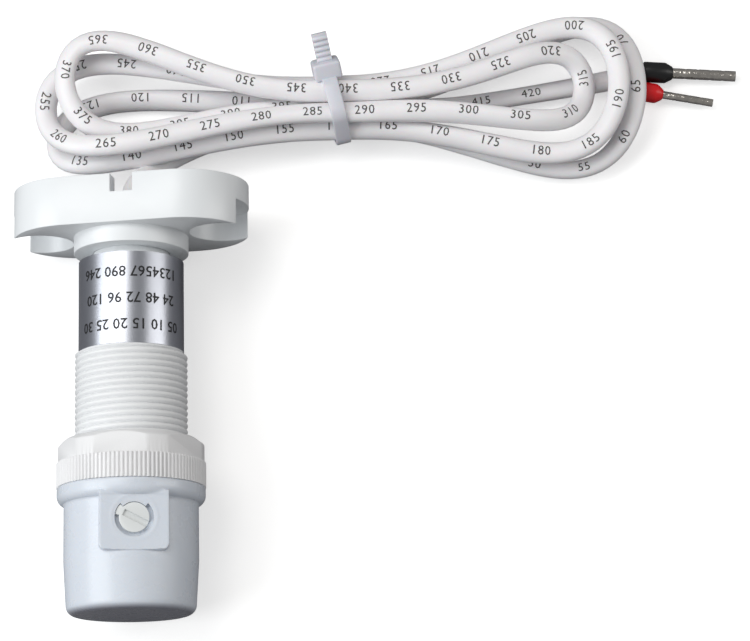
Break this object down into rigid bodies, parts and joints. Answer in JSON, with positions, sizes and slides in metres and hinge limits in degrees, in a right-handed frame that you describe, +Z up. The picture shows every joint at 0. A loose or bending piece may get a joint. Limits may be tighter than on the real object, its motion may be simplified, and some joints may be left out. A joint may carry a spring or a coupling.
{
  "type": "twilight sensor",
  "caption": "Twilight sensor with an oval screw-on base, a threaded body with a lock nut, a milky sensing cap with a sensitivity dial, and a tied lead with ferrules.",
  "frame": {"origin": "centre of the sensor's box, without its lead, on the table that it lies on", "axes": "+Y along the sensor's axis, out of the mounting face; the cap points to -Y; +Z up from the table; +X to the right, towards the tied lead's ferrules"},
  "size_m": [0.1196, 0.1001, 0.024],
  "materials": {
    "white_plastic": "gloss moulded plastic",
    "thread_plastic": "satin moulded plastic",
    "nut_plastic": "satin moulded plastic",
    "milky_plastic": "milky translucent moulded plastic",
    "foil": "satin silver foil",
    "dial_plastic": "satin moulded plastic",
    "seal_rubber": "soft black rubber",
    "spring_steel": "bright spring steel",
    "board": "green lacquered board",
    "component_black": "moulded component body",
    "component_metal": "bright can",
    "diode_clear": "clear moulded lens",
    "trimmer_blue": "moulded component body",
    "sleeve": "white shrinkable sleeve",
    "tie_nylon": "natural nylon",
    "black_plastic": "black soft plastic",
    "red_plastic": "red soft plastic",
    "tinned_copper": "crimped tin plate"
  },
  "bodies": {
    "base": {"mounting_base": "white_plastic", "cord_lead": "sleeve", "cord_hank": "sleeve", "cord_tail": "sleeve", "cable_tie": "tie_nylon", "wire_black": "black_plastic", "wire_red": "red_plastic", "ferrule_sleeve_black": "black_plastic", "ferrule_sleeve_red": "red_plastic", "ferrule_pin_black": "tinned_copper", "ferrule_pin_red": "tinned_copper"},
    "head": {"rear_plug": "white_plastic", "retaining_ring": "spring_steel", "cable_grommet": "seal_rubber", "body_tube": "thread_plastic", "rating_label": "foil", "sensor_cap": "milky_plastic", "cap_seal": "seal_rubber", "dial_seal": "seal_rubber", "trimmer_body": "trimmer_blue", "circuit_board": "board", "board_holder": "component_black", "photodiode": "diode_clear", "control_chip": "component_black", "smoothing_capacitor": "component_metal", "chip_resistors": "component_black", "switching_transistor": "component_black", "wire_terminal": "white_plastic", "inner_wires": "black_plastic"},
    "dial": {"adjuster_dial": "dial_plastic", "trimmer_rotor": "dial_plastic"},
    "gasket": {"panel_gasket": "seal_rubber"},
    "nut": {"lock_nut": "nut_plastic"}
  },
  "joints": [
    {"name": "head_swivel", "type": "hinge", "parent": "base", "child": "head", "pos_m": [0, 0.03, 0.012], "axis": [0, 1, 0], "range_deg": [-90, 90]},
    {"name": "dial_turn", "type": "hinge", "parent": "head", "child": "dial", "pos_m": [0, -0.02065, 0.012], "axis": [0.1323, 0, 0.9912], "range_deg": [0, 233]},
    {"name": "nut_slide", "type": "slide", "parent": "head", "child": "gasket", "axis": [0, 1, 0], "range_m": [0, 0.013]},
    {"name": "nut_spin", "type": "hinge", "parent": "gasket", "child": "nut", "pos_m": [0, -0.012, 0.012], "axis": [0, 1, 0], "range_deg": [0, 4680]}
  ],
  "couplings": [
    {"joint": "nut_slide", "follows": "nut_spin", "m_per_rad": 0.00015915}
  ]
}
